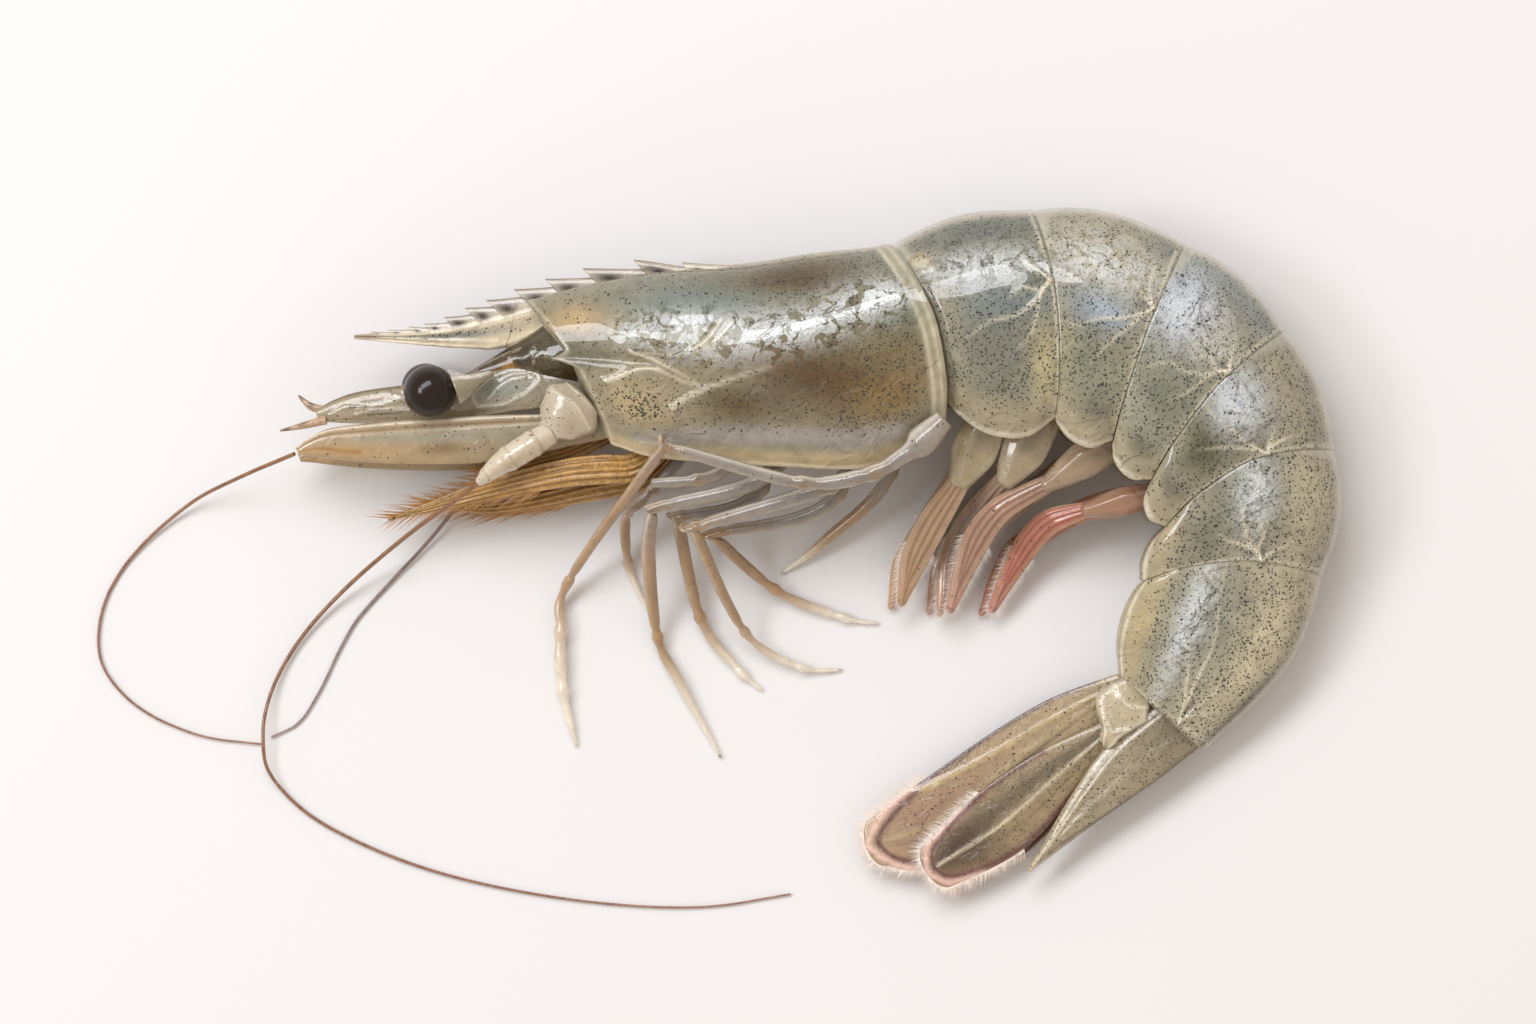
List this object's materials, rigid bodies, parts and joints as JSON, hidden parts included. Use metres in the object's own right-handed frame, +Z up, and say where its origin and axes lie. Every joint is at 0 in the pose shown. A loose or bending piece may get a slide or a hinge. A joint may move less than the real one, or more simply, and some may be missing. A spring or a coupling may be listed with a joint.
{
  "type": "raw shrimp",
  "caption": "Whole raw shrimp, head and shell on, that lies on its side with its tail curled round and its long feelers loose.",
  "frame": {"origin": "on the floor plane, under the middle of the box round the whole animal with its feelers", "axes": "+Z up, away from the surface it lies on; +X from the head towards the bend of the tail, which is the longest way across; +Y towards the back of the animal"},
  "size_m": [0.1246, 0.0702, 0.0166],
  "materials": {
    "shell": "wet, half clear shell, olive grey with fine dark speckles, pale ridges and ochre patches",
    "glassy": "wet, nearly clear skin of legs, swimming legs and scales, pale with dark dots",
    "amber": "wet amber mouthparts with fine hairs",
    "tail": "wet, half clear tail leaves, grey brown, with a dark red rim and a pale fringe",
    "eye": "wet, nearly black",
    "feeler": "wet copper"
  },
  "bodies": {
    "root": {"abdomen_1": "shell", "abdomen_2": "shell", "abdomen_3": "shell", "abdomen_4": "shell", "abdomen_5": "shell", "abdomen_6": "shell", "antenna_base_far": "glassy", "antenna_base_near": "glassy", "antenna_peduncle_far": "glassy", "antenna_peduncle_near": "glassy", "antennal_scale_far": "glassy", "antennal_scale_near": "glassy", "antennule_far": "glassy", "antennule_near": "glassy", "antennule_tip_lower": "amber", "antennule_tip_upper": "amber", "brow": "shell", "carapace": "shell", "eye_far": "eye", "eye_near": "eye", "eyestalk_far": "glassy", "eyestalk_near": "glassy", "flagellum_far": "feeler", "flagellum_near": "feeler", "flagellum_third": "feeler", "leg_1_far": "glassy", "leg_2_near": "glassy", "leg_3_far": "glassy", "leg_3_near": "glassy", "leg_4_far": "glassy", "leg_4_near": "glassy", "leg_5_far": "glassy", "leg_5_near": "glassy", "maxilliped_far": "amber", "maxilliped_near": "amber", "mouthparts": "amber", "pleopod_1_base_near": "glassy", "pleopod_1_blade_near": "glassy", "pleopod_1_far": "glassy", "pleopod_2_base_near": "glassy", "pleopod_2_blade_near": "glassy", "pleopod_2_far": "glassy", "pleopod_3_base_near": "glassy", "pleopod_3_blade_near": "glassy", "pleopod_3_far": "glassy", "pleopod_4_base_near": "glassy", "pleopod_4_blade_near": "glassy", "pleopod_4_far": "glassy", "telson": "tail", "uropod_base_far": "tail", "uropod_base_near": "tail", "uropod_endopod_far": "tail", "uropod_endopod_near": "tail", "uropod_exopod_far": "tail", "uropod_exopod_near": "tail"}
  },
  "joints": []
}
